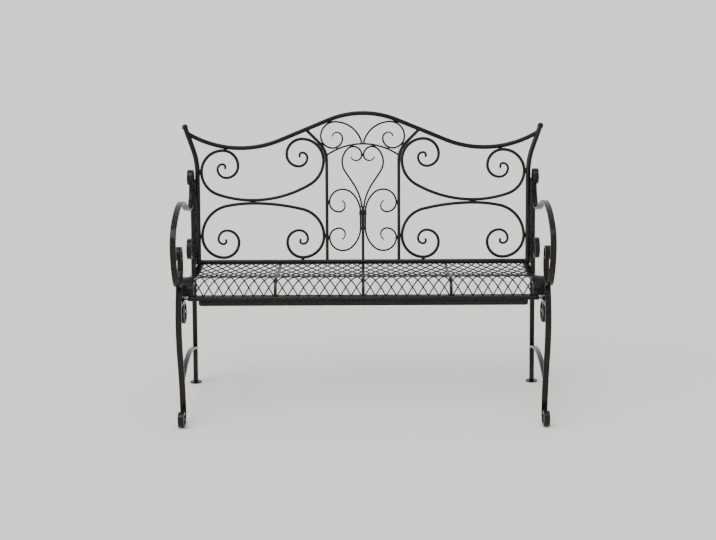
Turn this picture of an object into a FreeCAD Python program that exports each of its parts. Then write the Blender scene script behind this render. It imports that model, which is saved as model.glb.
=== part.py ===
import FreeCAD, Part
import math
import os

# A wrought iron garden bench, in millimetres. X runs to the right as seen from the front, Y to the rear
# and Z up.
# In the side view, u is the distance forward from the rear feet. In the back's own plane, s is the distance
# up from the level at which the rear legs bend.

V = FreeCAD.Vector
os.makedirs("parts", exist_ok=True)

# Fits
touch = 0.2             # air left between bars that are welded where they meet
screw_clearance = 0.4   # on the diameter of a screw hole
collar_clearance = 0.6  # between the collar and the bars that it holds

# Stance
bend_height = 467.0       # floor to the bend of the rear legs, where s is 0
back_stand = 30.0         # the bend is this far forward of the rear feet
back_lean = 7.5           # degrees from upright

# Back posts and balls
post_half_spacing = 595.0
post_diameter = 18.0
post_straight = 322.0     # s at which the post begins to flare
post_bend_radius = 250.0
post_flare = 19.5         # degrees
finial_height = 484.0     # s of the ball's centre
finial_diameter = 22.0
finial_socket = 5.0       # depth of the post's end in the ball

# Rails of the back
rear_rail_diameter = 16.8
rear_rail_top = 6.0       # s of its upper side
top_rail_diameter = 15.5
rail_apex = 531.5         # s of the crown
rail_dip = 408.5          # s of the low points
rail_dip_x = 437.0
rail_crown_radius = 325.0
rail_dip_radius = 370.0

# Inner uprights
upright_half_spacing = 129.5
upright_diameter = 11.5
upright_bend = 45.0       # degrees outwards at the top

# Large scrolls
scroll_diameter = 11.0
scroll_meeting_x = 397.0      # where upper and lower scroll touch
scroll_meeting_height = 210.0 # s of the lower scroll there
large_curl_radii = (77.0, 55.0, 43.0, 31.0, 18.0)
large_curl_tip_radius = 10.0
large_curl_tip_turn = 135.0   # degrees
upper_outer_belly_radius = 85.0
upper_inner_belly_radius = 100.0
lower_outer_belly_radius = 112.0
lower_inner_belly_radius = 100.0
stub_height = 2.5         # air between the lower scrolls and the rear rail
stub_diameter = 12.0

# Thin bars of the centre panel
thin_diameter = 6.6
centre_post_diameter = 10.4
arch_apex = 422.0
arch_radius = 227.0
heart_lobe_radius = 30.0
heart_lobe_turn = 134.0   # degrees
heart_side_radius = 64.0
heart_taper = 34.0        # degrees of the heart's straight sides from upright
heart_neck_radius = 190.0
heart_foot_lean = 6.5     # degrees from upright where the heart stands on the centre post
heart_curl_radius = 20.0
heart_tip_radius = 21.0
heart_tip_turn = 70.0     # degrees
crest_lean = 14.0         # degrees from upright at the feet of the crest scrolls
crest_curl_radii = (35.0, 21.0)
crest_tip_radius = 15.0
crest_tip_turn = 90.0     # degrees
centre_scroll_low = 122.0   # s of the lower end of the C-scroll's straight back
centre_scroll_high = 175.0  # s of its upper end
centre_scroll_rise = 84.0
centre_scroll_reach = 64.5
centre_scroll_back_radius = 97.0
centre_curl_radii = (34.0, 22.0)
centre_tip_radius = 21.0
centre_tip_turn = 65.0      # degrees
centre_collar_height = 173.5
centre_collar_length = 17.0
centre_collar_wall = 1.2

# Seat
seat_profile_drop = 6.0   # the profile starts this far under the bend of the legs
seat_rear_slope = 6.5     # degrees downwards at the rear
seat_dish_radius = 897.0
seat_front_slope = 10.6   # degrees upwards before the nose
seat_nose_radius = 55.0
seat_drop_slope = 85.0    # degrees downwards below the nose
seat_drop_length = 1.5
side_rail_overhang = 3.0  # the side rails' outer edges, outwards from the posts' middle
side_rail_width = 24.0
side_rail_thickness = 5.0
strap_width = 11.0
strap_spacing = 297.5    # from the middle strap to the outer ones
corner_plate_overlap = 12.0  # reach of the corner plates over the side frames
front_rail_diameter = 16.0
front_tab_width = 22.0
front_tab_thickness = 4.0
front_tab_overlap = 14.0  # length of the flattened end on the bearer
stiffener_inset = 47.0    # from the side frames' inner faces to the stiffener's ends
stiffener_height = 16.5
stiffener_thickness = 7.0
stiffener_corner = 8.0
mesh_thickness = 3.0
mesh_strand = 4.0
mesh_diamond_width = 35.0
mesh_diamond_length = 58.0

# Side frames
side_bar_width = 16.5
arm_width = 20.0
front_leg_width = 20.0
front_leg_inset = 3.5     # the front legs stand this much further in than the arms
side_bar_thickness = 8.0
rear_leg_depth = 20.0
rear_leg_top = 299.0      # s of the leg's upper end
rear_leg_bend_radius = 150.0
rear_leg_splay = 12.0     # the feet stand this much further out than the legs' upper part
rear_foot_diameter = 44.0
rear_foot_thickness = 4.0
arm_heel_length = 19.0    # straight length of the arm against the rear leg
arm_heel_radius = 85.0
arm_curl_radii = (30.0, 27.0, 19.0)
arm_dip_radius = 250.0
arm_crest_u = 320.0
arm_crest_height = 731.0
arm_front_u = 525.0
arm_front_height = 610.0
arm_shoulder_radius = 85.0
arm_front_radius = 175.0
arm_base_u = 435.0
arm_base_height = 476.0
arm_stem_u = 368.0
arm_stem_height = 530.0
arm_stem_radius = 40.0
arm_stem_length = 40.0
arm_inner_curl_radii = (24.0, 22.0, 16.0)
knee_u = 482.0
knee_height = 318.0
ankle_u = 446.0
ankle_height = 60.0
shin_radius = 330.0
toe_heel_radius = 32.0
toe_flat = 12.0
toe_curl_radii = (25.0, 21.0, 14.0)
bearer_heel_radius = 40.0
bearer_curl_contact = 2.0   # s at which the bearer's curl leaves the rear leg
bearer_curl_radii = (85.0, 34.0, 30.0, 20.0)
bracket_setback = 124.0     # from the knee back to where the bracket scroll touches the bearer
bracket_curl_radii = (42.0, 38.0, 32.0, 25.0, 18.0, 12.0)
stretcher_height = 133.0
stretcher_rise = 42.0

# Fasteners
screw_diameter = 6.0
screw_head_width = 10.0
screw_head_height = 4.0

# Values that follow from those above
lean = math.radians(back_lean)
post_r = post_diameter / 2
rail_r = top_rail_diameter / 2
rear_r = rear_rail_diameter / 2
front_r = front_rail_diameter / 2
upright_r = upright_diameter / 2
scroll_r = scroll_diameter / 2
thin_r = thin_diameter / 2
core_r = centre_post_diameter / 2
finial_r = finial_diameter / 2
half_bar = side_bar_thickness / 2
side_in = post_half_spacing + post_r + touch
side_mid = side_in + side_bar_width / 2
seat_half_width = post_half_spacing + side_rail_overhang
side_rail_in = seat_half_width - side_rail_width
rear_axis_s = rear_rail_top - rear_r
front_reach = arm_front_u + half_bar
rear_reach = rail_apex * math.sin(lean) + rail_r * math.cos(lean) - back_stand
mid_u = (front_reach - rear_reach) / 2


def flat_place(x, s):
    """A point of the back's drawing, laid out upright for measuring."""
    return V(x, 0, s)


def back_place(x, s):
    """A point of the back's drawing on the leaning plane."""
    return V(x, mid_u - back_stand + s * math.sin(lean), bend_height + s * math.cos(lean))


def side_place(x):
    """Takes points of the side view to the plane at x."""
    return lambda u, z: V(x, mid_u - u, z)


def run_point(run, share, side):
    """A point at a share of a line or an arc, moved sideways to its left."""
    (x, z), heading, size, turn = run
    a = math.radians(heading)
    if turn == 0:
        return (x + share * size * math.cos(a) - side * math.sin(a),
                z + share * size * math.sin(a) + side * math.cos(a))
    sense = math.copysign(1, turn)
    b = a + math.radians(turn * share)
    r = size - sense * side
    return (x - sense * size * math.sin(a) + sense * r * math.sin(b),
            z + sense * size * math.cos(a) - sense * r * math.cos(b))


class Path:
    """A chain of tangent lines and arcs in a drawing; headings in degrees, left turns positive."""

    def __init__(self, x, z, heading):
        self.at = (x, z)
        self.heading = heading
        self.runs = []

    def add(self, size, turn):
        self.runs.append((self.at, self.heading, size, turn))
        self.at = run_point(self.runs[-1], 1, 0)
        self.heading += turn
        return self

    def line(self, length):
        return self.add(length, 0)

    def arc(self, radius, turn):
        return self.add(radius, turn)

    def curl(self, radii, sense):
        """Quarter turns of shrinking radius."""
        for radius in radii:
            self.arc(radius, 90 * sense)
        return self

    def offsets(self, x, z):
        """How far a point lies ahead and to the left."""
        a = math.radians(self.heading)
        dx, dz = x - self.at[0], z - self.at[1]
        return dx * math.cos(a) + dz * math.sin(a), dz * math.cos(a) - dx * math.sin(a)

    def bend(self, x, z, first=None, last=None):
        """A right-angle turn to a point in two arcs, of which one radius is given."""
        ahead, left = self.offsets(x, z)
        sense = math.copysign(1, left)
        if first is not None:
            turn = 2 * math.degrees(math.atan((abs(left) - first) / (ahead - first))) - 90
            last = first + (abs(left) - first) / math.cos(math.radians(turn))
        else:
            turn = 180 - 2 * math.degrees(math.atan((ahead - last) / (abs(left) - last)))
            first = last + (ahead - last) / math.sin(math.radians(turn))
        return self.arc(first, sense * turn).arc(last, sense * (90 - turn))

    def sway(self, x, z, first):
        """Two opposite arcs to a point beside the line, ending with the heading that it started with."""
        ahead, left = self.offsets(x, z)
        turn = 2 * math.atan2(left, ahead)
        last = ahead / math.sin(abs(turn)) - first
        return self.arc(first, math.degrees(turn)).arc(last, -math.degrees(turn))


def backwards(path):
    """The runs of a path, taken from its end to its start."""
    return [(run_point(run, 1, 0), run[1] + run[3] + 180, run[2], -run[3]) for run in reversed(path.runs)]


def run_edge(run, side, place):
    start, middle, end = (place(*run_point(run, share, side)) for share in (0, 0.5, 1))
    if run[3] == 0:
        return Part.makeLine(start, end)
    return Part.Arc(start, middle, end).toShape()


def wire_of(runs, place):
    return Part.Wire([run_edge(run, 0, place) for run in runs])


def round_bar(runs, radius, place=back_place):
    """A round bar along a path."""
    (x, z), heading = runs[0][0], math.radians(runs[0][1])
    start = place(x, z)
    ahead = place(x + math.cos(heading), z + math.sin(heading)) - start
    ring = Part.Wire(Part.makeCircle(radius, start, ahead))
    return wire_of(runs, place).makePipeShell([ring], True, False)


def flat_bar(runs, thickness, x, width):
    """A flat bar that is bent in the side view, from x over its width."""
    place = side_place(x)
    half = thickness / 2
    edges = []
    for side in (half, -half):
        edges += [run_edge(run, side, place) for run in runs]
    for run, share in ((runs[0], 0), (runs[-1], 1)):
        corners = [place(*run_point(run, share, side)) for side in (half, -half)]
        edges.append(Part.makeLine(*corners))
    outline = Part.Wire(Part.__sortEdges__(edges))
    return Part.Face(outline).extrude(V(width, 0, 0))


def rod(start, along, radius, length):
    return Part.makeCylinder(radius, length, start, along)


def hexagon(start, along, width, height):
    """A hexagon head, as wide as given across its flats."""
    reach = width / math.sqrt(3)
    across, side = V(0, reach, 0), along.cross(V(0, reach, 0))
    corners = [start + side * math.cos(math.radians(a)) + across * math.sin(math.radians(a))
               for a in range(0, 361, 60)]
    return Part.Face(Part.makePolygon(corners)).extrude(along * height)


def largest(shape):
    """The main solid that a cut leaves."""
    return max(shape.Solids, key=lambda solid: solid.Volume)


def mirrored(shape):
    return shape.mirror(V(0, 0, 0), V(1, 0, 0))


def solve(gap, low, high):
    """The value between two limits at which a gap closes."""
    rising = gap(high) > gap(low)
    for _ in range(32):
        middle = (low + high) / 2
        if (gap(middle) > 0) == rising:
            high = middle
        else:
            low = middle
    return (low + high) / 2


def clearance_of(wire, x, s):
    return Part.Vertex(flat_place(x, s)).distToShape(wire)[0]


nodes = {}


def keep(name, shape):
    nodes[name] = shape


def keep_pair(name, right):
    keep(name + "_right", right)
    keep(name + "_left", mirrored(right))


# Back posts, with the upper end in the ball
post_foot_s = rear_rail_top - rear_rail_diameter
post_path = Path(post_half_spacing, post_foot_s, 90).line(post_straight - post_foot_s)
post_path.arc(post_bend_radius, -post_flare)
flare = math.radians(post_flare)
flare_length = (finial_height - post_path.at[1]) / math.cos(flare)
finial_x = post_path.at[0] + flare_length * math.sin(flare)
post_path.line(flare_length - finial_r + finial_socket)
post_solid = round_bar(post_path.runs, post_r)
keep_pair("back_post", post_solid)
ball = Part.makeSphere(finial_r, back_place(finial_x, finial_height))
keep_pair("finial_ball", largest(ball.cut(post_solid)))

# Top rail: a crown, two straight slopes and two dips, ending in the posts
crown_centre_s = rail_apex - rail_crown_radius
dip_centre_s = rail_dip + rail_dip_radius
centre_rise = dip_centre_s - crown_centre_s
centre_distance = math.hypot(rail_dip_x, centre_rise)
rail_radii = rail_crown_radius + rail_dip_radius
rail_slope = math.degrees(math.atan2(rail_dip_x, centre_rise) - math.acos(rail_radii / centre_distance))
rail_straight = math.sqrt(centre_distance ** 2 - rail_radii ** 2)
flare_top = post_path.at


def past_post(angle):
    """How far the dip's arc reaches past the axis of the flared post."""
    x = rail_dip_x + rail_dip_radius * math.sin(math.radians(angle))
    s = dip_centre_s - rail_dip_radius * math.cos(math.radians(angle))
    return (x - flare_top[0]) * math.cos(flare) - (s - flare_top[1]) * math.sin(flare)


rail_end_turn = solve(past_post, 0, 80)
half_rail = Path(0, rail_apex, 0).arc(rail_crown_radius, -rail_slope).line(rail_straight)
half_rail.arc(rail_dip_radius, rail_slope + rail_end_turn)
other_half = Path(0, rail_apex, 180).arc(rail_crown_radius, rail_slope).line(rail_straight)
other_half.arc(rail_dip_radius, -rail_slope - rail_end_turn)
rail_runs = backwards(other_half) + half_rail.runs
rail_axis = wire_of(rail_runs, flat_place)
top_rail = round_bar(rail_runs, rail_r).cut(post_solid).cut(mirrored(post_solid))
keep("back_top_rail", largest(top_rail))

# Rear rail between the posts
rear_rail = rod(back_place(-post_half_spacing, rear_axis_s), V(1, 0, 0), rear_r, 2 * post_half_spacing)
rear_rail = largest(rear_rail.cut(post_solid).cut(mirrored(post_solid)))
keep("seat_rear_rail", rear_rail)

# Inner uprights, which bend round the inner curls of the upper scrolls
outer_x = post_half_spacing - post_r - touch - scroll_r
inner_x = upright_half_spacing + upright_r + touch + scroll_r
curl_r = large_curl_radii[0]
rail_reach = curl_r + scroll_r + touch + rail_r


def height_under_rail(x):
    """The height at which a first curl, with its centre at x, touches the top rail."""
    return solve(lambda s: clearance_of(rail_axis, x, s) - rail_reach, 0, rail_dip - rail_reach / 2)


outer_curl_s = height_under_rail(outer_x - curl_r)
inner_curl_s = height_under_rail(inner_x + curl_r)
upright_bend_radius = curl_r + scroll_r + touch + upright_r
upright = Path(upright_half_spacing, rear_axis_s, 90).line(inner_curl_s - rear_axis_s)
upright.arc(upright_bend_radius, -upright_bend)
upright_ray = Path(upright.at[0], upright.at[1], upright.heading).line(rail_apex)
rail_hit = wire_of(upright_ray.runs, flat_place).distToShape(rail_axis)[1][0][0]
upright.line(math.hypot(rail_hit.x - upright.at[0], rail_hit.z - upright.at[1]))
upright_axis = wire_of(upright.runs, flat_place)
upright_solid = largest(round_bar(upright.runs, upright_r).cut(top_rail).cut(rear_rail))
keep_pair("inner_upright", upright_solid)

# Large scrolls: each is drawn from the place where the two meet, outwards and inwards
upper_low_s = scroll_meeting_height + scroll_diameter + touch
lower_curl_s = rear_rail_top + stub_height + scroll_r + curl_r


def large_scroll(meeting_s, outer_s, inner_s, outer_belly, inner_belly, sense):
    outward = Path(scroll_meeting_x, meeting_s, 0).bend(outer_x, outer_s, last=outer_belly)
    inward = Path(scroll_meeting_x, meeting_s, 180).bend(inner_x, inner_s, last=inner_belly)
    outward.curl(large_curl_radii, sense).arc(large_curl_tip_radius, sense * large_curl_tip_turn)
    inward.curl(large_curl_radii, -sense).arc(large_curl_tip_radius, -sense * large_curl_tip_turn)
    return round_bar(backwards(outward) + inward.runs, scroll_r)


upper_scroll = large_scroll(upper_low_s, outer_curl_s, inner_curl_s,
                            upper_outer_belly_radius, upper_inner_belly_radius, 1)
lower_scroll = large_scroll(scroll_meeting_height, lower_curl_s, lower_curl_s,
                            lower_outer_belly_radius, lower_inner_belly_radius, -1)
keep_pair("upper_scroll", upper_scroll)
keep_pair("lower_scroll", lower_scroll)

# Feet between the inner curls and the rear rail
stub_axis = back_place(0, 1) - back_place(0, 0)
stub_length = rear_r + stub_height + scroll_r
stub = rod(back_place(inner_x + curl_r, rear_axis_s), stub_axis, stub_diameter / 2, stub_length)
stub = largest(stub.cut(rear_rail).cut(lower_scroll))
keep("scroll_stubs", Part.makeCompound([stub, mirrored(stub)]))

# Arch between the uprights
arch_half_turn = math.degrees(math.asin(upright_half_spacing / arch_radius))
arch_start_s = arch_apex - arch_radius * (1 - math.cos(math.radians(arch_half_turn)))
arch = Path(-upright_half_spacing, arch_start_s, arch_half_turn).arc(arch_radius, -2 * arch_half_turn)
arch_axis = wire_of(arch.runs, flat_place)
arch_solid = round_bar(arch.runs, thin_r).cut(upright_solid).cut(mirrored(upright_solid))
keep("centre_arch", largest(arch_solid))

# Crest scrolls: they stand on the arch and touch the rail, the upright and the arch again
twin_x = thin_r + touch / 2
crest_start_s = arch_apex + thin_r + touch + thin_r * math.sin(math.radians(crest_lean))
crest_reach = thin_r + touch + rail_r


def crest_rise(radius):
    """The first turn of a crest scroll, from its foot to its top."""
    return Path(twin_x, crest_start_s, 90 - crest_lean).arc(radius, crest_lean - 90)


def crest_rail_gap(radius, second):
    """Air between the top rail and the second turn, which follows a first turn of the given radius."""
    x, s = crest_rise(radius).at
    return clearance_of(rail_axis, x, s - second) - second - crest_reach


def crest_third(top, second):
    """The third radius that lets the scroll touch the arch, and that turn's centre."""
    x, s = top[0] + second, top[1] - second
    third = solve(lambda r: clearance_of(arch_axis, x - r, s) - r - thin_diameter - touch, 0, second)
    return third, x - third, s


def crest_upright_gap(top, second):
    third, x, s = crest_third(top, second)
    return clearance_of(upright_axis, x, s) - third - thin_r - touch - upright_r


crest_second = (rail_apex - arch_apex) / 2
for _ in range(5):
    crest_r = solve(lambda r: crest_rail_gap(r, crest_second), 0, rail_apex - arch_apex)
    crest_top = crest_rise(crest_r).at
    crest_second = solve(lambda r: crest_upright_gap(crest_top, r), crest_r / 3, crest_r)
crest = crest_rise(crest_r).curl((crest_second, crest_third(crest_top, crest_second)[0]), -1)
crest.curl(crest_curl_radii, -1).arc(crest_tip_radius, -crest_tip_turn)
keep_pair("crest_scroll", round_bar(crest.runs, thin_r))

# Heart: each half starts where it touches its twin, goes over the lobe and down to the neck
lobe_x = twin_x + heart_lobe_radius
lobe_reach = heart_lobe_radius + thin_diameter + touch
lobe_s = solve(lambda s: clearance_of(arch_axis, lobe_x, s) - lobe_reach,
               arch_apex / 2, arch_apex - lobe_reach / 2)
taper = math.radians(heart_taper)
foot_lean = math.radians(heart_foot_lean)
lobe = Path(twin_x, lobe_s, 90).arc(heart_lobe_radius, -heart_lobe_turn)
lobe.arc(heart_side_radius, heart_lobe_turn - 180 - heart_taper)
neck_width = heart_neck_radius * (math.cos(foot_lean) - math.cos(taper))
lobe.line((lobe.at[0] - twin_x - neck_width) / math.sin(taper))
lobe.arc(heart_neck_radius, heart_taper - heart_foot_lean)
heart_foot_s = lobe.at[1] - thin_r * math.sin(foot_lean)
heart_curl = Path(twin_x, lobe_s, -90).arc(heart_curl_radius, 90).arc(heart_tip_radius, heart_tip_turn)
keep_pair("heart_scroll", round_bar(backwards(lobe) + heart_curl.runs, thin_r))

# Centre post under the heart, with the C-scrolls against it
core_length = heart_foot_s - touch - rear_axis_s
core = rod(back_place(0, rear_axis_s), stub_axis, core_r, core_length)
keep("centre_post", largest(core.cut(rear_rail)))
c_back_x = core_r + touch + thin_r
c_touch_x = upright_half_spacing - upright_r - touch - thin_r
c_middle_s = (centre_scroll_low + centre_scroll_high) / 2


def c_half(sense):
    """One half of a C-scroll, upwards or downwards from the middle of its back."""
    half = Path(c_back_x, c_middle_s, 90 * sense).line((centre_scroll_high - centre_scroll_low) / 2)
    half.bend(c_back_x + centre_scroll_reach, half.at[1] + sense * centre_scroll_rise,
              first=centre_scroll_back_radius)
    half.curl((c_touch_x - half.at[0],) + centre_curl_radii, -sense)
    return half.arc(centre_tip_radius, -sense * centre_tip_turn)


keep_pair("centre_scroll", round_bar(backwards(c_half(-1)) + c_half(1).runs, thin_r))
bundle_width = 2 * (c_back_x + thin_r + collar_clearance)
bundle_depth = centre_post_diameter + 2 * collar_clearance
band = Part.makeBox(bundle_width + 2 * centre_collar_wall, bundle_depth + 2 * centre_collar_wall,
                    centre_collar_length)
band = largest(band.cut(Part.makeBox(bundle_width, bundle_depth, centre_collar_length,
                                     V(centre_collar_wall, centre_collar_wall, 0))))
band.translate(band.CenterOfMass * -1)
band.rotate(V(0, 0, 0), V(1, 0, 0), -back_lean)
band.translate(back_place(0, centre_collar_height))
keep("centre_collar", band)

# Seat profile: a dish, a rolled nose and a drop to the front rail
profile = Path(back_stand, bend_height - seat_profile_drop, -seat_rear_slope)
profile.arc(seat_dish_radius, seat_rear_slope + seat_front_slope)
profile.arc(seat_nose_radius, -seat_front_slope - seat_drop_slope).line(seat_drop_length)
front_rail_u = profile.at[0] + (front_r + touch) * math.cos(math.radians(seat_drop_slope))
front_rail_z = profile.at[1] - (front_r + touch) * math.sin(math.radians(seat_drop_slope))
side_rail = flat_bar(profile.runs, side_rail_thickness, side_rail_in, side_rail_width)
keep_pair("seat_side_rail", largest(side_rail.cut(rear_rail).cut(post_solid)))
corner_in = seat_half_width + touch
corner_width = side_in + corner_plate_overlap - corner_in
keep_pair("corner_plate", flat_bar(profile.runs[1:], side_rail_thickness, corner_in, corner_width))
for place_name, x in (("left", -strap_spacing), ("centre", 0), ("right", strap_spacing)):
    strap = flat_bar(profile.runs, side_rail_thickness, x - strap_width / 2, strap_width)
    keep("seat_strap_" + place_name, largest(strap.cut(rear_rail)))

# Diamond mesh of the bays, drawn flat and then laid on the profile
run_lengths = [size * math.radians(abs(turn)) if turn else size for _, _, size, turn in profile.runs]
mesh_start = rear_r
mesh_length = sum(run_lengths) - mesh_start


def on_profile(t):
    """Point and heading on the seat's profile, a length t from the mesh's rear edge."""
    t += mesh_start
    for run, length in zip(profile.runs, run_lengths):
        if t <= length or run is profile.runs[-1]:
            return run_point(run, t / length, 0), run[1] + run[3] * t / length
        t -= length


def clip(points, axis, limit, sense):
    """The part of a polygon on one side of a line."""
    kept = []
    for a, b in zip(points, points[1:] + points[:1]):
        da, db = sense * (a[axis] - limit), sense * (b[axis] - limit)
        if da >= 0:
            kept.append(a)
        if da * db < 0:
            share = da / (da - db)
            kept.append((a[0] + share * (b[0] - a[0]), a[1] + share * (b[1] - a[1])))
    return kept


mesh_rows = round(mesh_length / mesh_diamond_length)
half_t = mesh_length / mesh_rows / 2
bend_step = 10.0  # degrees of the profile that one straight side of an opening may span


def opening_outline(column, row, half_x, width):
    """One diamond of the flat mesh; the bay keeps a rim at its front and rear, and its sides are open."""
    x, t = column * half_x, row * half_t
    share = 1 - mesh_strand / 2 * math.hypot(half_x, half_t) / (half_x * half_t)
    rx, rt = half_x * share, half_t * share
    points = [(x, t + rt), (x + rx, t), (x, t - rt), (x - rx, t)]
    points = clip(clip(points, 1, mesh_strand, 1), 1, mesh_length - mesh_strand, -1)
    return clip(clip(points, 0, -touch, 1), 0, width + touch, -1)


def opening_cutter(points, x_start):
    """A prism that punches one diamond through the bent sheet."""
    t_middle = sum(t for _, t in points) / len(points)
    (u, z), heading = on_profile(t_middle)
    a = math.radians(heading)
    place = side_place(0)
    centre = place(u, z)
    normal = V(0, math.sin(a), math.cos(a))
    corners = []
    reach = mesh_thickness
    for (xa, ta), (xb, tb) in zip(points, points[1:] + points[:1]):
        steps = max(1, math.ceil(abs(on_profile(tb)[1] - on_profile(ta)[1]) / bend_step))
        for k in range(steps):
            share = k / steps
            corner = place(*on_profile(ta + share * (tb - ta))[0])
            corner.x = x_start + xa + share * (xb - xa)
            height = (corner - centre).dot(normal)
            reach = max(reach, abs(height) + mesh_thickness)
            corners.append(corner - normal * height)
    corners = [corner - normal * reach for corner in corners]
    return Part.Face(Part.makePolygon(corners + corners[:1])).extrude(normal * 2 * reach)


def mesh_bay(start, end):
    """The mesh between two straps."""
    width = end - start
    columns = round(width / mesh_diamond_width)
    cutters = []
    for row in range(2 * mesh_rows + 1):
        for column in range((row + 1) % 2, 2 * columns + 1, 2):
            outline = opening_outline(column, row, width / columns / 2, width)
            if len(outline) > 2:
                cutters.append(opening_cutter(outline, start))
    sheet = flat_bar(profile.runs, mesh_thickness, start, width).cut(rear_rail)
    return largest(largest(sheet).cut(cutters))


strap_room = strap_width / 2 + touch
keep_pair("seat_mesh_inner", mesh_bay(strap_room, strap_spacing - strap_room))
keep_pair("seat_mesh_outer", mesh_bay(strap_spacing + strap_room, side_rail_in - touch))

# Rear legs: they slope forward and inwards up to the bend, and follow the leaning back above it
leg_bend = side_place(side_mid)(back_stand, bend_height)
leg_foot = side_place(side_mid + rear_leg_splay)(0, 0)
down_back = back_place(0, 0) - back_place(0, 1)
down_leg = (leg_foot - leg_bend).normalize()
half_bend = down_back.getAngle(down_leg) / 2
bend_tangent = rear_leg_bend_radius * math.tan(half_bend)
bend_start = leg_bend - down_back * bend_tangent
bend_end = leg_bend + down_leg * bend_tangent
bend_sag = rear_leg_bend_radius / math.cos(half_bend) - rear_leg_bend_radius
bend_middle = leg_bend + (down_leg - down_back).normalize() * bend_sag
leg_top = leg_bend - down_back * rear_leg_top
rear_leg_axis = Part.Wire([Part.makeLine(leg_top, bend_start),
                           Part.Arc(bend_start, bend_middle, bend_end).toShape(),
                           Part.makeLine(bend_end, leg_foot)])
half_width = V(side_bar_width / 2, 0, 0)
half_depth = V(1, 0, 0).cross(down_back) * (rear_leg_depth / 2)
leg_corners = ((1, 1), (1, -1), (-1, -1), (-1, 1), (1, 1))
leg_section = Part.makePolygon([leg_top + half_width * a + half_depth * b for a, b in leg_corners])
rear_leg_solid = rear_leg_axis.makePipeShell([leg_section], True, False)
room = rear_foot_diameter
foot_room = Part.makeBox(2 * room, 2 * room, room, leg_foot + V(-room, -room, rear_foot_thickness - room))
keep_pair("rear_leg", rear_leg_solid.cut(foot_room))
keep_pair("rear_foot", rod(leg_foot, V(0, 0, 1), rear_foot_diameter / 2, rear_foot_thickness))

# Arms: a curl and a heel against the rear leg, a dip, a crest and a large scroll in front
against_leg = rear_leg_depth / 2 + touch + half_bar


def beside_leg(s):
    """Side view place of a bar's axis that lies against the front of the rear leg."""
    return (back_stand - s * math.sin(lean) + against_leg * math.cos(lean),
            bend_height + s * math.cos(lean) + against_leg * math.sin(lean))


def heel(s, curl_radii):
    """A curl that leaves the rear leg at s, and rolls over forwards."""
    top = Path(*beside_leg(s), 90 + back_lean).arc(curl_radii[0], -90 - back_lean)
    return top.curl(curl_radii[1:], -1)


arm_up = heel(rear_leg_top, arm_curl_radii)
arm = Path(*beside_leg(rear_leg_top), back_lean - 90).line(arm_heel_length)
arm.arc(arm_heel_radius, 90 - back_lean)
arm.sway(arm_crest_u, arm_crest_height, arm_dip_radius)
arm.bend(arm_front_u, arm_front_height, last=arm_shoulder_radius)
arm.bend(arm_base_u, arm_base_height, first=arm_front_radius)
arm.bend(arm_stem_u, arm_stem_height, last=arm_stem_radius)
arm.line(arm_stem_length).curl(arm_inner_curl_radii, -1)
arm_runs = backwards(arm_up) + arm.runs
keep_pair("arm", flat_bar(arm_runs, side_bar_thickness, side_in, arm_width))

# Front legs: from under the arm over the knee and the ankle to a curled toe
thigh_ahead, thigh_drop = knee_u - arm_base_u, arm_base_height - knee_height
thigh_radius = (thigh_ahead ** 2 + thigh_drop ** 2) / (2 * thigh_ahead)
thigh_turn = math.degrees(math.asin(thigh_drop / thigh_radius))
leg = Path(arm_base_u, arm_base_height, thigh_turn - 90).arc(thigh_radius, -thigh_turn)
leg.sway(ankle_u, ankle_height, shin_radius)
leg.line(ankle_height - half_bar - toe_heel_radius).arc(toe_heel_radius, 90)
leg.line(toe_flat).curl(toe_curl_radii, 1)
front_leg_in = side_in - front_leg_inset
arm_room = flat_bar(arm_runs, side_bar_thickness, front_leg_in, front_leg_inset + arm_width)
front_leg = flat_bar(leg.runs, side_bar_thickness, front_leg_in, front_leg_width)
front_leg_solid = largest(front_leg.cut(arm_room))
keep_pair("front_leg", front_leg_solid)

# Bearers under the seat's sides
bearer_z = front_rail_z - front_tab_thickness / 2 - touch - half_bar
bearer_up = heel(bearer_curl_contact, bearer_curl_radii)
heel_u, heel_z = beside_leg(bearer_curl_contact)
heel_drop = bearer_heel_radius * (1 - math.sin(lean))
bearer = Path(heel_u, heel_z, back_lean - 90).line((heel_z - bearer_z - heel_drop) / math.cos(lean))
bearer.arc(bearer_heel_radius, 90 - back_lean)
bearer.line(knee_u - bearer.at[0])
bearer_solid = flat_bar(backwards(bearer_up) + bearer.runs, side_bar_thickness, side_in, side_bar_width)
bearer_solid = largest(bearer_solid.cut(front_leg_solid))

# Bracket scrolls under the front of the bearers
bracket_r = bracket_curl_radii[0]
bracket_z = bearer_z - side_bar_thickness - touch - bracket_r
bracket = Path(knee_u - bracket_setback + bracket_r, bracket_z, 90).curl(bracket_curl_radii, 1)
keep_pair("bracket_scroll", flat_bar(bracket.runs, side_bar_thickness, side_in, side_bar_width))

# Stretchers between the legs, butted against both
leg_slope = math.atan2(back_stand, bend_height)
leg_front = Path(0, 0, 90 - math.degrees(leg_slope)).line(bend_height)
leg_room = flat_bar(leg_front.runs, rear_leg_depth + 2 * touch, side_in - side_bar_width, 3 * side_bar_width)
level = Part.makeLine(flat_place(0, stretcher_height), flat_place(2 * knee_u, stretcher_height))
stretcher_start = stretcher_height * math.tan(leg_slope)
stretcher_span = level.distToShape(wire_of(leg.runs, flat_place))[1][0][0].x - stretcher_start
stretcher_radius = ((stretcher_span / 2) ** 2 + stretcher_rise ** 2) / (2 * stretcher_rise)
stretcher_turn = math.degrees(math.asin(stretcher_span / 2 / stretcher_radius))
stretcher = Path(stretcher_start, stretcher_height, stretcher_turn)
stretcher.arc(stretcher_radius, -2 * stretcher_turn)
stretcher_solid = flat_bar(stretcher.runs, side_bar_thickness, side_in, side_bar_width)
splay_there = rear_leg_splay * (1 - stretcher_height / bend_height)
stretcher_skew = math.degrees(math.atan2(splay_there, stretcher_span))
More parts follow.
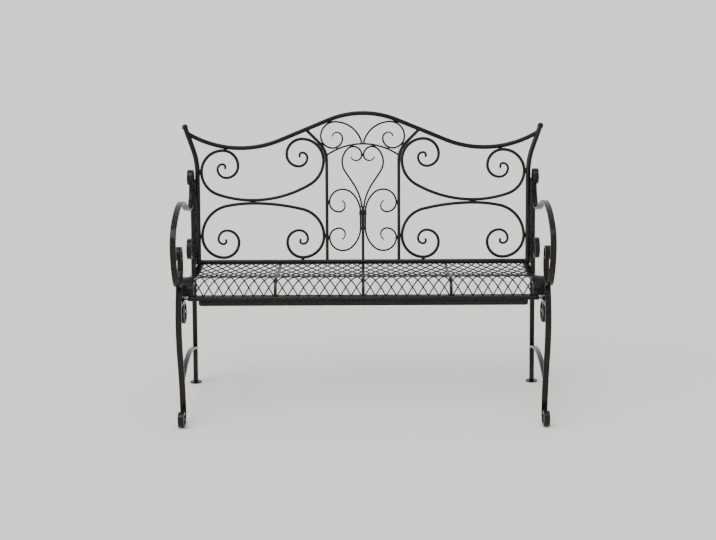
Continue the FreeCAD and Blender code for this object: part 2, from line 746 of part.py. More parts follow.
stretcher_solid.rotate(side_place(side_mid)(stretcher.at[0], stretcher_height), V(0, 0, 1), -stretcher_skew)
keep_pair("leg_stretcher", largest(stretcher_solid.cut(leg_room).cut(front_leg_solid)))

# Front rail: a round bar with flattened ends on the bearers, and the stiffener under it
bar_end = side_in - front_tab_width / 2
stiffener_length = 2 * (side_in - stiffener_inset)
front_rail = rod(V(-bar_end, mid_u - front_rail_u, front_rail_z), V(1, 0, 0), front_r, 2 * bar_end)
tab_corner = V(bar_end, mid_u - front_rail_u - front_tab_width / 2, front_rail_z - front_tab_thickness / 2)
tab = Part.makeBox(side_in + front_tab_overlap - bar_end, front_tab_width, front_tab_thickness, tab_corner)
stiffener = Part.makeBox(stiffener_length, stiffener_thickness, stiffener_height,
                         V(-stiffener_length / 2, mid_u - front_rail_u - stiffener_thickness / 2,
                           front_rail_z - front_r - touch - stiffener_height))
lower_corners = [edge for edge in stiffener.Edges
                 if edge.BoundBox.YLength > stiffener_thickness / 2 and edge.BoundBox.ZLength < 1
                 and edge.BoundBox.XLength < 1 and edge.CenterOfMass.z < stiffener.CenterOfMass.z]
keep("seat_stiffener", stiffener.makeFillet(stiffener_corner, lower_corners))

# Screws that hold the front rail's flattened ends on the bearers
hole_r = (screw_diameter + screw_clearance) / 2
head_z = front_rail_z + front_tab_thickness / 2 + touch
head_face = V(side_in + front_tab_overlap / 2, mid_u - front_rail_u, head_z)
grip = front_tab_thickness + 2 * touch + side_bar_thickness
hole = rod(head_face, V(0, 0, -1), hole_r, grip + touch)
screw = hexagon(head_face, V(0, 0, 1), screw_head_width, screw_head_height)
screw = screw.fuse(rod(head_face, V(0, 0, -1), screw_diameter / 2, grip)).removeSplitter()
tab = tab.cut(hole)
keep("seat_front_rail", front_rail.fuse([tab, mirrored(tab)]).removeSplitter())
keep_pair("seat_bearer", bearer_solid.cut(hole))
keep("seat_screws", Part.makeCompound([screw, mirrored(screw)]))

for name, shape in nodes.items():
    shape.exportStep("parts/%s.step" % name)
    state = "ok" if shape.isValid() else "not valid"
    print(name, len(shape.Solids), "solid", round(shape.Volume), "mm3", state)
print("depth %.1f, middle at u %.2f" % (front_reach + rear_reach, mid_u))
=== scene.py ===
# %% [markdown]
# # A wrought iron garden bench
# The bench is a frame of bent and welded iron bars with a seat of wire lattice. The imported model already
# holds every bar at its true size and place, so this lesson dresses it: it eases the sharp edges of the bars,
# draws out the tips of the scrolls, weaves the seat, adds screws and welds, paints everything and lights it.
# We load the model first and keep its outer box, so that we can compare the finished bench with it at the
# end.

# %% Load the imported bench
import math

import bmesh
import bpy
from mathutils import Matrix, Vector
from mathutils.bvhtree import BVHTree


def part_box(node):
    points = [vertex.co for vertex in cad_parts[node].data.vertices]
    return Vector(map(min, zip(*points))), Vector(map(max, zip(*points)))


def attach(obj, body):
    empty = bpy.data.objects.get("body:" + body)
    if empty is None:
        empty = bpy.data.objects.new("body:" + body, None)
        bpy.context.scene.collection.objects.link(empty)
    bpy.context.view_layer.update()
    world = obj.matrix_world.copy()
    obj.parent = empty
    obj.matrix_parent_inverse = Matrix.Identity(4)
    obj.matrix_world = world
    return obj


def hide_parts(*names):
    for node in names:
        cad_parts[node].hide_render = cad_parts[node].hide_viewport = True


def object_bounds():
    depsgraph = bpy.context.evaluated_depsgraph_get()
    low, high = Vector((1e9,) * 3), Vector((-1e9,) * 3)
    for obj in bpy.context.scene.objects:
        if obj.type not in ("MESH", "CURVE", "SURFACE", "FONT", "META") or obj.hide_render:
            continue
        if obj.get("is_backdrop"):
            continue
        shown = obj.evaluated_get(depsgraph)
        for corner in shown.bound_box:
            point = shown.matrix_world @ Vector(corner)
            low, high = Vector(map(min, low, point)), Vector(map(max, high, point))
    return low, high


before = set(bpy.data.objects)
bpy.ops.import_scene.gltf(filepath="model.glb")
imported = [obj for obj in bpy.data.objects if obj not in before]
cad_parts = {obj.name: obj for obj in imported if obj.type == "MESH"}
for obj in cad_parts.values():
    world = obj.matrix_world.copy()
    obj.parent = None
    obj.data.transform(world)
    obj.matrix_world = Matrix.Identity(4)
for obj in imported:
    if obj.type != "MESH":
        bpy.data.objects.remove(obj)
cad_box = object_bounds()
MM = 0.001
print("pieces in the model:", len(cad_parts))

# %% [markdown]
# ## The camera
# A photograph of furniture is usually taken from standing height, a few metres away. The place, the tilt and
# the lens of this camera follow from the picture: the lens from how the sides converge, the height from how
# much of the seat shows. The slight roll is there because nobody holds a camera dead level.

# %% Camera
PICTURE_WIDTH = 716
FOCAL_PIXELS = 1302.0
SENSOR_MM = 36.0
VIEWER_PLACE = (0.0, -4.3907, 1.493)
LOOK_DOWN, LOOK_LEFT, ROLL = math.radians(12.97), math.radians(0.233), math.radians(-0.3)

camera_data = bpy.data.cameras.new("standing_viewer")
camera_data.sensor_fit = "HORIZONTAL"
camera_data.sensor_width = SENSOR_MM
camera_data.lens = SENSOR_MM * FOCAL_PIXELS / PICTURE_WIDTH
camera = bpy.data.objects.new("standing_viewer", camera_data)
bpy.context.scene.collection.objects.link(camera)
aim = (Matrix.Rotation(LOOK_LEFT, 4, "Z") @ Matrix.Rotation(math.pi / 2 - LOOK_DOWN, 4, "X")
       @ Matrix.Rotation(ROLL, 4, "Z"))
camera.matrix_world = Matrix.Translation(VIEWER_PLACE) @ aim
bpy.context.scene.camera = camera
print("lens %.1f mm" % camera_data.lens)

# %% [markdown]
# ## Small helpers for nodes
# Materials and Geometry Nodes are both trees of nodes, so one function can add a node to either: it makes the
# node, sets its options, and fills each input with a value or with a link. The second function turns the hex
# colours that a paint card gives into the linear values that shaders count in, and the third turns a size in
# millimetres into the scale of a texture, so that every pattern can be thought of in real sizes.

# %% Node and colour helpers
def add(tree, kind, inputs=None, **options):
    """Adds a node; inputs maps a socket's name or number to a value, to a node or to a node's output."""
    made = tree.nodes.new(kind)
    for key, value in options.items():
        setattr(made, key, value)
    for key, value in (inputs or {}).items():
        if isinstance(value, bpy.types.Node):
            value = value.outputs[0]
        if isinstance(value, bpy.types.NodeSocket):
            tree.links.new(value, made.inputs[key])
        else:
            made.inputs[key].default_value = value
    return made


def linear(hex_code):
    """An sRGB hex colour as linear red, green, blue and alpha."""
    shares = [int(hex_code[i:i + 2], 16) / 255 for i in (1, 3, 5)]
    return [s / 12.92 if s <= 0.04045 else ((s + 0.055) / 1.055) ** 2.4 for s in shares] + [1.0]


def per_metre(size_mm):
    """The texture scale at which a pattern repeats about every size_mm millimetres."""
    return 1.0 / (size_mm * MM)


print("a dark brown in linear light:", [round(c, 4) for c in linear("#2b211c")])

# %% [markdown]
# ## Paint on forged iron
# The finish is a black-brown enamel, brushed over iron that was hammered while hot. That gives the eye four
# things: a nearly black ground that drifts towards brown, a warmer tone where hands and weather have rubbed
# the edges, a satin gloss that is never quite even, and shallow hammer dents under a fine orange-peel skin.
# Enamel is not a metal to light, so metallic stays at zero. Years outdoors have dulled it, so the mirror part
# of the gloss is set to less than half of what fresh enamel shows.
# The rubbed edges read an attribute called edge_wear, which each bar gets when it is made.

# %% Enamel paint: its colour
CLOUD_MM = 70  # how far apart the drifts of colour lie
MIX_A, MIX_B, MIX_RESULT = 6, 7, 2  # the colour sockets of a Mix node, which share their names with others


def worn_colour(tree, where, breaks, ground, drift, rubbed, rub_amount):
    """Two dark browns that drift in clouds, and a warmer one in broken patches along the rubbed edges."""
    clouds = add(tree, "ShaderNodeTexNoise",
                 {"Vector": where, "Scale": per_metre(CLOUD_MM), "Detail": 5.0, "Roughness": 0.62})
    drifting = add(tree, "ShaderNodeMapRange", {"Value": clouds, "From Min": 0.42, "From Max": 0.72})
    brown = add(tree, "ShaderNodeMix", {"Factor": drifting, MIX_A: linear(ground), MIX_B: linear(drift)},
                data_type="RGBA").outputs[MIX_RESULT]
    worn = add(tree, "ShaderNodeAttribute", attribute_name="edge_wear").outputs["Fac"]
    patchy = add(tree, "ShaderNodeMapRange", {"Value": breaks, "From Min": 0.38, "From Max": 0.72})
    rubbing = add(tree, "ShaderNodeMath", {0: worn, 1: patchy}, operation="MULTIPLY")
    rub = add(tree, "ShaderNodeMath", {0: rubbing, 1: rub_amount}, operation="MULTIPLY", use_clamp=True)
    return add(tree, "ShaderNodeMix", {"Factor": rub, MIX_A: brown, MIX_B: linear(rubbed)},
               data_type="RGBA").outputs[MIX_RESULT]


print("the colour drifts over about %d mm" % CLOUD_MM)

# %% Enamel paint: its relief
PEEL_MM = 3  # orange peel is about 1 mm across; this is the finest that the picture can hold
DENT_DEPTH_MM, DENT_STRENGTH = 1.0, 0.12
PEEL_DEPTH_MM, PEEL_STRENGTH = 0.3, 0.06


def hammered_skin(tree, where, dent_mm):
    """Shallow hammer dents of the given size, under a fine orange-peel skin."""
    dents = add(tree, "ShaderNodeTexVoronoi",
                {"Vector": where, "Scale": per_metre(dent_mm), "Smoothness": 0.8}, feature="SMOOTH_F1")
    peel = add(tree, "ShaderNodeTexNoise", {"Vector": where, "Scale": per_metre(PEEL_MM), "Detail": 2.0})
    forged = add(tree, "ShaderNodeBump",
                 {"Strength": DENT_STRENGTH, "Distance": DENT_DEPTH_MM * MM, "Height": dents})
    return add(tree, "ShaderNodeBump", {"Strength": PEEL_STRENGTH, "Distance": PEEL_DEPTH_MM * MM,
                                        "Height": peel, "Normal": forged})


print("the orange peel is drawn %d mm across" % PEEL_MM)

# %% Enamel paint: the whole finish
RUB_MM = 9  # rub marks really break up at about 2 mm; they are drawn coarser to show in the picture
SMOOTHER, ROUGHER = 0.06, 0.08  # how far the roughness strays to either side
WEATHERED_MIRROR = 0.22  # fresh enamel has 0.5


def enamel(name, ground, drift, rubbed, rub_amount, roughness, dent_mm):
    """Enamel on iron: its colours and dents, with a gloss that breaks up as the rub marks do."""
    paint = bpy.data.materials.new(name)
    paint.use_nodes = True
    tree = paint.node_tree
    tree.nodes.clear()
    where = add(tree, "ShaderNodeTexCoord").outputs["Object"]
    breaks = add(tree, "ShaderNodeTexNoise",
                 {"Vector": where, "Scale": per_metre(RUB_MM), "Detail": 3.0, "Roughness": 0.6})
    satin = add(tree, "ShaderNodeMapRange",
                {"Value": breaks, "From Min": 0.3, "From Max": 0.75,
                 "To Min": roughness - SMOOTHER, "To Max": roughness + ROUGHER})
    shader = add(tree, "ShaderNodeBsdfPrincipled",
                 {"Base Color": worn_colour(tree, where, breaks, ground, drift, rubbed, rub_amount),
                  "Roughness": satin, "Normal": hammered_skin(tree, where, dent_mm), "Metallic": 0.0,
                  "IOR": 1.5, "Specular IOR Level": WEATHERED_MIRROR})
    add(tree, "ShaderNodeOutputMaterial", {"Surface": shader})
    return paint


frame_paint = enamel("black_brown_enamel_on_bars", ground="#060505", drift="#0f0c0a", rubbed="#33271e",
                     rub_amount=0.45, roughness=0.24, dent_mm=16)
lattice_paint = enamel("black_brown_enamel_on_wire", ground="#060505", drift="#0e0c0a", rubbed="#251d17",
                       rub_amount=0.3, roughness=0.28, dent_mm=9)
screw_paint = enamel("black_brown_enamel_on_screws", ground="#070606", drift="#100d0b", rubbed="#33271e",
                     rub_amount=0.45, roughness=0.24, dent_mm=12)
PAINTS = {"painted_iron": frame_paint, "seat_mesh": lattice_paint, "fasteners": screw_paint}
print("paints:", [paint.name for paint in PAINTS.values()])

# %% [markdown]
# ## Bars with eased edges and drawn-out tips
# Hot-rolled flat bar never has a knife edge: the mill and the hammer leave a radius of one to three
# millimetres, and that small radius is what catches the light along an arm or a leg. The model's bars are
# exact but sharp, so each one is copied, its loose triangles are merged into clean faces, and every sharp
# edge gets a narrow bevel of three segments. Round bars go through the same function: only their cut ends
# have sharp edges, so only those change.
# A smith also draws a scroll's end out thinner before rolling it. The copy of a round bar is a chain of rings
# of points, so we walk from the cut end ring by ring and shrink each ring towards its own middle.

# %% Paint a finished piece and hand it over
def dress(piece, slot_name, *nodes):
    """Paints a finished piece and lets it stand for the bars of the model that it was made for."""
    piece.data.materials.clear()
    piece.data.materials.append(PAINTS[slot_name])
    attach(piece, "root")
    if nodes:
        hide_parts(*nodes)
    return piece


print("finishes that a piece can take:", sorted(PAINTS))

# %% Find the sharp edges and the cut ends of a bar
SHARP = math.radians(48)


def sharp_edges(bm):
    """The edges of a shape where its two faces meet at more than the angle SHARP."""
    return [edge for edge in bm.edges if edge.is_manifold and edge.calc_face_angle() > SHARP]


def cut_ends(bm):
    """The rings of points round the cut ends of a bar."""
    rings = []
    border = set(sharp_edges(bm))
    waiting = {vertex for edge in border for vertex in edge.verts}
    while waiting:
        ring = {waiting.pop()}
        grown = set(ring)
        while grown:
            grown = {edge.other_vert(vertex) for vertex in grown for edge in vertex.link_edges
                     if edge in border} - ring
            ring |= grown
        waiting -= ring
        rings.append(ring)
    return rings


print("an edge counts as sharp above %.0f degrees" % math.degrees(SHARP))

# %% Draw out the tips of the scrolls
# Over how many millimetres a tip is drawn out, and the share of its thickness that it keeps
LARGE_TIP, THIN_TIP = (220.0, 0.78), (60.0, 0.7)
TIPS = {"upper_scroll": LARGE_TIP, "lower_scroll": LARGE_TIP, "crest_scroll": THIN_TIP,
        "heart_scroll": THIN_TIP, "centre_scroll": THIN_TIP}
FOOT_MM = 10.0  # ends nearer than this to the middle of the bench are feet, which keep their thickness


def middle_of(points):
    """The mean place of some points of a shape."""
    return sum((point.co for point in points), Vector()) / len(points)


def draw_out(bm, length, tip_share):
    """Thins a round bar towards those of its ends that are the tips of scrolls."""
    for ring in cut_ends(bm):
        middle = middle_of(ring)
        if abs(middle.x) < FOOT_MM * MM:
            continue
        seen, walked = set(ring), 0.0
        while ring and walked < length:
            ahead = {edge.other_vert(vertex) for vertex in ring for edge in vertex.link_edges} - seen
            share = walked / length
            thickness = tip_share + (1 - tip_share) * share * share * (3 - 2 * share)
            for vertex in ring:
                vertex.co = middle + (vertex.co - middle) * thickness
            ring, seen = ahead, seen | ahead
            if ring:
                step = middle_of(ring)
                walked += (step - middle).length
                middle = step


print("bars with drawn-out tips:", sorted(TIPS))

# %% Copy a bar
MERGE_MM = 0.01


def side_less(node):
    """A node's name without its side."""
    return node.replace("_left", "").replace("_right", "")


def merged_copy(node):
    """The shape of one bar as a bmesh with its loose triangles joined."""
    bm = bmesh.new()
    bm.from_mesh(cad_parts[node].data)
    bmesh.ops.remove_doubles(bm, verts=bm.verts, dist=MERGE_MM * MM)
    return bm


print("kinds of piece, left and right counted once:", len({side_less(node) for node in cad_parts}))

# %% Ease the edges of a bar
EASE_MM = {"back_post": 0.8, "finial_ball": 0.6, "centre_collar": 0.5, "seat_stiffener": 0.8,
           "centre_arch": 0.5, "heart_scroll": 0.8, "crest_scroll": 0.8, "centre_scroll": 0.8,
           "upper_scroll": 1.4, "lower_scroll": 1.4, "arm": 3.0, "front_leg": 3.0, "rear_leg": 3.0,
           "seat_bearer": 3.0, "bracket_scroll": 3.0, "leg_stretcher": 3.0}
PLAIN_EASE_MM = 1.0
FLAT = math.radians(0.5)  # faces that meet at less than this become one


def eased_bar(node):
    """A copy of one bar with merged faces, eased edges and smooth shading."""
    kind = side_less(node)
    bm = merged_copy(node)
    if kind in TIPS:
        length_mm, tip_share = TIPS[kind]
        draw_out(bm, length_mm * MM, tip_share)
    bmesh.ops.dissolve_limit(bm, angle_limit=FLAT, verts=bm.verts, edges=bm.edges)
    wear = bm.verts.layers.float.new("edge_wear")
    eased = bmesh.ops.bevel(bm, geom=sharp_edges(bm), offset=EASE_MM.get(kind, PLAIN_EASE_MM) * MM,
                            segments=3, profile=0.5, affect="EDGES", clamp_overlap=True)
    for vertex in {vertex for face in eased["faces"] for vertex in face.verts}:
        vertex[wear] = 1.0
    bmesh.ops.triangulate(bm, faces=[face for face in bm.faces if len(face.verts) > 4])
    mesh = bpy.data.meshes.new("forged_" + node)
    bm.to_mesh(mesh)
    bm.free()
    mesh.shade_smooth()
    mesh.set_sharp_from_angle(angle=SHARP)
    piece = bpy.data.objects.new("forged_" + node, mesh)
    bpy.context.scene.collection.objects.link(piece)
    piece.modifiers.new("even_normals", "WEIGHTED_NORMAL").keep_sharp = True
    return piece


print("edges are eased by %.1f to %.1f mm" % (min(EASE_MM.values()), max(EASE_MM.values())))

# %% Ease every bar except the seat's lattice and the screws
bars = [node for node in sorted(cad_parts) if not node.startswith("seat_mesh") and node != "seat_screws"]
faces = 0
for node in bars:
    piece = dress(eased_bar(node), "painted_iron", node)
    faces += len(piece.data.polygons)
print("eased bars:", len(bars), "with", faces, "faces")

# %% [markdown]
# ## The lattice of the seat
# Each bay of the seat is filled with steel wire: two families of parallel strands that cross on the diagonal
# and are welded at every crossing. Modelling the strands one by one would be endless, but they follow a rule,
# which makes them a job for Geometry Nodes. The tree lays a flat grid of cells, puts a short diagonal in
# each, joins the diagonals of one family into long strands, and only then bends the flat pattern onto the
# seat's profile by looking up how far along the profile each point lies. One family lies a little above the
# other, as real wire does.

# %% Seat profile in the side view
# The profile is measured from the rear feet towards the front, and up from the floor
REAR_EDGE = (30.0 * MM, 461.0 * MM)
REAR_PITCH = math.radians(-6.5)
DISH = (897.0 * MM, math.radians(17.1), 60)  # radius, turn and number of steps
NOSE = (55.0 * MM, math.radians(-95.6), 50)
RUN_OUT = 1.5 * MM  # the short straight drop under the nose
foot_low, foot_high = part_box("rear_foot_left")
REAR_FEET_Y = (foot_low.y + foot_high.y) / 2


def profile_points():
    """Points along the seat's profile, from the rear rail over the dish and the nose to the front rail."""
    along, height = REAR_EDGE
    heading = REAR_PITCH
    points = [(along, height)]
    for radius, turn, steps in (DISH, NOSE):
        step = turn / steps
        chord = 2 * radius * math.sin(abs(step) / 2)
        for _ in range(steps):
            along += chord * math.cos(heading + step / 2)
            height += chord * math.sin(heading + step / 2)
            heading += step
            points.append((along, height))
    points.append((along + RUN_OUT * math.cos(heading), height + RUN_OUT * math.sin(heading)))
    return points


seat_line = [Vector((0.0, REAR_FEET_Y - along, height)) for along, height in profile_points()]
seat_links = [(i, i + 1) for i in range(len(seat_line) - 1)]
seat_length = sum((b - a).length for a, b in zip(seat_line, seat_line[1:]))
print("profile length %.1f mm" % (seat_length / MM))

# %% Start and end a Geometry Nodes tree
def new_tree(name, sizes):
    """A tree with geometry in and out and the given named inputs; returns the tree and its group input."""
    tree = bpy.data.node_groups.new(name, "GeometryNodeTree")
    tree.interface.new_socket("Geometry", in_out="INPUT", socket_type="NodeSocketGeometry")
    tree.interface.new_socket("Geometry", in_out="OUTPUT", socket_type="NodeSocketGeometry")
    for label, value in sizes.items():
        kind = "NodeSocketInt" if isinstance(value, int) else "NodeSocketFloat"
        tree.interface.new_socket(label, in_out="INPUT", socket_type=kind).default_value = value
    return tree, add(tree, "NodeGroupInput").outputs


def finish_tree(tree, shape, paint):
    """Ends a tree the way the export needs it: real geometry, with its paint."""
    real = add(tree, "GeometryNodeRealizeInstances", {"Geometry": shape})
    painted = add(tree, "GeometryNodeSetMaterial", {"Geometry": real, "Material": paint})
    add(tree, "NodeGroupOutput", {0: painted})
    print("nodes in the tree %s:" % tree.name, len(tree.nodes))


print("trees before the first of ours:", len(bpy.data.node_groups))

# %% Run a tree on points and keep the result
def points_object(name, points, edges=()):
    """A mesh of points and edges only, for Geometry Nodes to work on."""
    mesh = bpy.data.meshes.new(name)
    mesh.from_pydata(points, edges, [])
    made = bpy.data.objects.new(name, mesh)
    bpy.context.scene.collection.objects.link(made)
    return made


def grow(tree, piece, **values):
    """Runs a tree on a piece with some inputs set, and keeps the result as a plain mesh."""
    modifier = piece.modifiers.new("grow", "NODES")
    modifier.node_group = tree
    for item in tree.interface.items_tree:
        if item.in_out == "INPUT" and item.name in values:
            modifier[item.identifier] = values[item.name]
    depsgraph = bpy.context.evaluated_depsgraph_get()
    mesh = bpy.data.meshes.new_from_object(piece.evaluated_get(depsgraph), depsgraph=depsgraph)
    piece.modifiers.clear()
    piece.data = mesh
    return piece


print("the seat's profile gives a tree", len(seat_line), "points to follow")

# %% Lattice tree: a grid of cells, and the cells' parity
REAR_RAIL = 8.4 * MM  # radius of the rear rail, at whose surface the lattice starts
lattice, lattice_in = new_tree("wire_lattice", {
    "BayStart": 0.0, "BayWidth": 280.0 * MM, "Start": REAR_RAIL, "Length": seat_length - REAR_RAIL,
    "Columns": 8, "Rows": 6, "Wire": 4.6 * MM, "Lift": 0.9 * MM})
# A diamond is two cells wide and two cells long, with a quarter of its outline in each
cells_x = add(lattice, "ShaderNodeMath", {0: lattice_in["Columns"], 1: 2.0}, operation="MULTIPLY")
cells_t = add(lattice, "ShaderNodeMath", {0: lattice_in["Rows"], 1: 2.0}, operation="MULTIPLY")
half_x = add(lattice, "ShaderNodeMath", {0: lattice_in["BayWidth"], 1: cells_x}, operation="DIVIDE")
half_t = add(lattice, "ShaderNodeMath", {0: lattice_in["Length"], 1: cells_t}, operation="DIVIDE")
grid_x = add(lattice, "ShaderNodeMath", {0: lattice_in["BayWidth"], 1: half_x}, operation="SUBTRACT")
grid_t = add(lattice, "ShaderNodeMath", {0: lattice_in["Length"], 1: half_t}, operation="SUBTRACT")
grid = add(lattice, "GeometryNodeMeshGrid",
           {"Size X": grid_x, "Size Y": grid_t, "Vertices X": cells_x, "Vertices Y": cells_t})
middle_x = add(lattice, "ShaderNodeMath", {0: lattice_in["BayWidth"], 1: 0.5}, operation="MULTIPLY")
middle_t = add(lattice, "ShaderNodeMath", {0: lattice_in["Length"], 1: 0.5}, operation="MULTIPLY")
middle = add(lattice, "ShaderNodeCombineXYZ", {0: middle_x, 1: middle_t})
grid = add(lattice, "GeometryNodeTransform", {"Geometry": grid, "Translation": middle})
place = add(lattice, "ShaderNodeSeparateXYZ", {0: add(lattice, "GeometryNodeInputPosition")}).outputs
column = add(lattice, "ShaderNodeMath", {0: place[0], 1: half_x}, operation="DIVIDE")
row = add(lattice, "ShaderNodeMath", {0: place[1], 1: half_t}, operation="DIVIDE")
cell = add(lattice, "ShaderNodeMath", {0: add(lattice, "ShaderNodeMath", {0: column}, operation="FLOOR"),
                                       1: add(lattice, "ShaderNodeMath", {0: row}, operation="FLOOR")})
parity = add(lattice, "ShaderNodeMath", {0: cell, 1: 2.0}, operation="MODULO")
print("nodes for the grid:", len(lattice.nodes))

# %% Lattice tree: bending flat strands onto the seat
profile = add(lattice, "GeometryNodeMeshToCurve", {"Mesh": lattice_in["Geometry"]})


def bent(flat, lift):
    """Bends flat curves onto the seat's profile, with a lift along the profile's upward normal."""
    here = add(lattice, "ShaderNodeSeparateXYZ", {0: add(lattice, "GeometryNodeInputPosition")}).outputs
    along = add(lattice, "ShaderNodeMath", {0: here[1], 1: lattice_in["Start"]})
    sample = add(lattice, "GeometryNodeSampleCurve", {"Curves": profile, "Length": along},
                 mode="LENGTH", use_all_curves=True).outputs
    upward = add(lattice, "ShaderNodeVectorMath", {0: sample["Tangent"], 1: (1.0, 0.0, 0.0)},
                 operation="CROSS_PRODUCT")
    raised = add(lattice, "ShaderNodeVectorMath", {0: upward, "Scale": lift}, operation="SCALE")
    across = add(lattice, "ShaderNodeMath", {0: here[0], 1: lattice_in["BayStart"]})
    sideways = add(lattice, "ShaderNodeCombineXYZ", {0: across})
    on_seat = add(lattice, "ShaderNodeVectorMath", {0: sample["Position"], 1: raised})
    target = add(lattice, "ShaderNodeVectorMath", {0: on_seat, 1: sideways})
    return add(lattice, "GeometryNodeSetPosition", {"Geometry": flat, "Position": target})


print("the lattice covers %.1f mm of the profile" % ((seat_length - REAR_RAIL) / MM))

# %% Lattice tree: two families of strands
DIAGONAL_POINTS = 7
JOIN = 0.2 * MM  # ends this close are joined into one strand
half_wire = add(lattice, "ShaderNodeMath", {0: lattice_in["Wire"], 1: 0.5}, operation="MULTIPLY")
wires = []
for wanted, sense in ((0.0, 1.0), (1.0, -1.0)):
    slant = add(lattice, "ShaderNodeMath", {0: half_t, 1: sense}, operation="MULTIPLY")
    reach = add(lattice, "ShaderNodeCombineXYZ", {0: half_x, 1: slant})
    start = add(lattice, "ShaderNodeVectorMath", {0: reach, "Scale": -0.5}, operation="SCALE")
    end = add(lattice, "ShaderNodeVectorMath", {0: reach, "Scale": 0.5}, operation="SCALE")
    diagonal = add(lattice, "GeometryNodeMeshLine",
                   {"Count": DIAGONAL_POINTS, "Start Location": start, "Offset": end}, mode="END_POINTS")
    family = add(lattice, "FunctionNodeCompare", {"A": parity, "B": wanted, "Epsilon": 0.1},
                 operation="EQUAL")
    strands = add(lattice, "GeometryNodeInstanceOnPoints",
                  {"Points": grid, "Selection": family, "Instance": diagonal})
    strands = add(lattice, "GeometryNodeRealizeInstances", {"Geometry": strands})
    strands = add(lattice, "GeometryNodeMergeByDistance", {"Geometry": strands, "Distance": JOIN})
    strands = add(lattice, "GeometryNodeMeshToCurve", {"Mesh": strands})
    lift = add(lattice, "ShaderNodeMath", {0: lattice_in["Lift"], 1: sense}, operation="MULTIPLY")
    wires.append(bent(strands, lift))
print("families of strands:", len(wires))

# %% Lattice tree: the rims, and a round wire along every line
WIRE_SIDES = 8
front = add(lattice, "ShaderNodeMath", {0: lattice_in["Length"], 1: half_wire}, operation="SUBTRACT")
for edge in (half_wire, front):
    rim_start = add(lattice, "ShaderNodeCombineXYZ", {1: edge})
    rim_end = add(lattice, "ShaderNodeCombineXYZ", {0: lattice_in["BayWidth"], 1: edge})
    rim = add(lattice, "GeometryNodeCurvePrimitiveLine", {"Start": rim_start, "End": rim_end})
    wires.append(bent(rim, 0.0))
joined = add(lattice, "GeometryNodeJoinGeometry")
for wire in reversed(wires):
    lattice.links.new(wire.outputs[0], joined.inputs[0])
ring = add(lattice, "GeometryNodeCurvePrimitiveCircle", {"Resolution": WIRE_SIDES, "Radius": half_wire})
tubes = add(lattice, "GeometryNodeCurveToMesh", {"Curve": joined, "Profile Curve": ring, "Fill Caps": True})
finish_tree(lattice, tubes, lattice_paint)

# %% Weave the four bays
BITE = 0.3 * MM  # how far the strands' ends reach into the weld on the straps
for name in ("outer_left", "inner_left", "inner_right", "outer_right"):
    node = "seat_mesh_" + name
    low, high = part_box(node)
    width = high.x - low.x + 2 * BITE
    bay = points_object("woven_" + node, seat_line, seat_links)
    grow(lattice, bay, BayStart=low.x - BITE, BayWidth=width)
    bay.data.shade_smooth()
    dress(bay, "seat_mesh", node)
    print(bay.name, "wire faces", len(bay.data.polygons), "width %.1f mm" % (width / MM))

# %% [markdown]
# ## Screws
# Two hexagon screws hold the flattened ends of the front rail on the seat's bearers. A forged head is a
# hexagon whose upper corners are turned off by a short chamfer, and under it the plain shank goes down
# through both bars. The same screw sits in two places, so it is built once in a tree and set on points, which
# is how one would also fill a whole machine with screws.

# %% Screw tree: the head
SCREW_WIDTH, SCREW_HEAD = 10.0 * MM, 4.0 * MM
STRAIGHT_SHARE, TOP_SHARE = 0.78, 0.86  # of the head's height below the chamfer, of its width on top
screw_tree, screw_in = new_tree("hexagon_screw", {"AcrossFlats": SCREW_WIDTH, "HeadHeight": SCREW_HEAD,
                                                  "Shank": 6.0 * MM, "ShankLength": 12.4 * MM})
corner = add(screw_tree, "ShaderNodeMath", {0: screw_in["AcrossFlats"], 1: math.sqrt(3)}, operation="DIVIDE")
straight = add(screw_tree, "ShaderNodeMath", {0: screw_in["HeadHeight"], 1: STRAIGHT_SHARE},
               operation="MULTIPLY")
chamfer = add(screw_tree, "ShaderNodeMath", {0: screw_in["HeadHeight"], 1: straight}, operation="SUBTRACT")
block = add(screw_tree, "GeometryNodeMeshCylinder", {"Vertices": 6, "Radius": corner, "Depth": straight})
raised = add(screw_tree, "GeometryNodeExtrudeMesh",
             {"Mesh": block, "Selection": block.outputs["Top"], "Offset": (0.0, 0.0, 1.0),
              "Offset Scale": chamfer})
head = add(screw_tree, "GeometryNodeScaleElements",
           {"Geometry": raised, "Selection": raised.outputs["Top"], "Scale": TOP_SHARE})
lift = add(screw_tree, "ShaderNodeMath", {0: straight, 1: 0.5}, operation="MULTIPLY")
head = add(screw_tree, "GeometryNodeTransform",
           {"Geometry": head, "Translation": add(screw_tree, "ShaderNodeCombineXYZ", {2: lift})})
print("nodes for the head:", len(screw_tree.nodes))

# %% Screw tree: the shank, and a screw on every point
SHANK_SIDES = 16
half_shank = add(screw_tree, "ShaderNodeMath", {0: screw_in["Shank"], 1: 0.5}, operation="MULTIPLY")
shank = add(screw_tree, "GeometryNodeMeshCylinder",
            {"Vertices": SHANK_SIDES, "Radius": half_shank, "Depth": screw_in["ShankLength"]})
drop = add(screw_tree, "ShaderNodeMath", {0: screw_in["ShankLength"], 1: -0.5}, operation="MULTIPLY")
shank = add(screw_tree, "GeometryNodeTransform",
            {"Geometry": shank, "Translation": add(screw_tree, "ShaderNodeCombineXYZ", {2: drop})})
screw = add(screw_tree, "GeometryNodeJoinGeometry")
for part in (shank, head):
    screw_tree.links.new(part.outputs[0], screw.inputs[0])
screws = add(screw_tree, "GeometryNodeInstanceOnPoints", {"Points": screw_in["Geometry"], "Instance": screw})
finish_tree(screw_tree, screws, screw_paint)

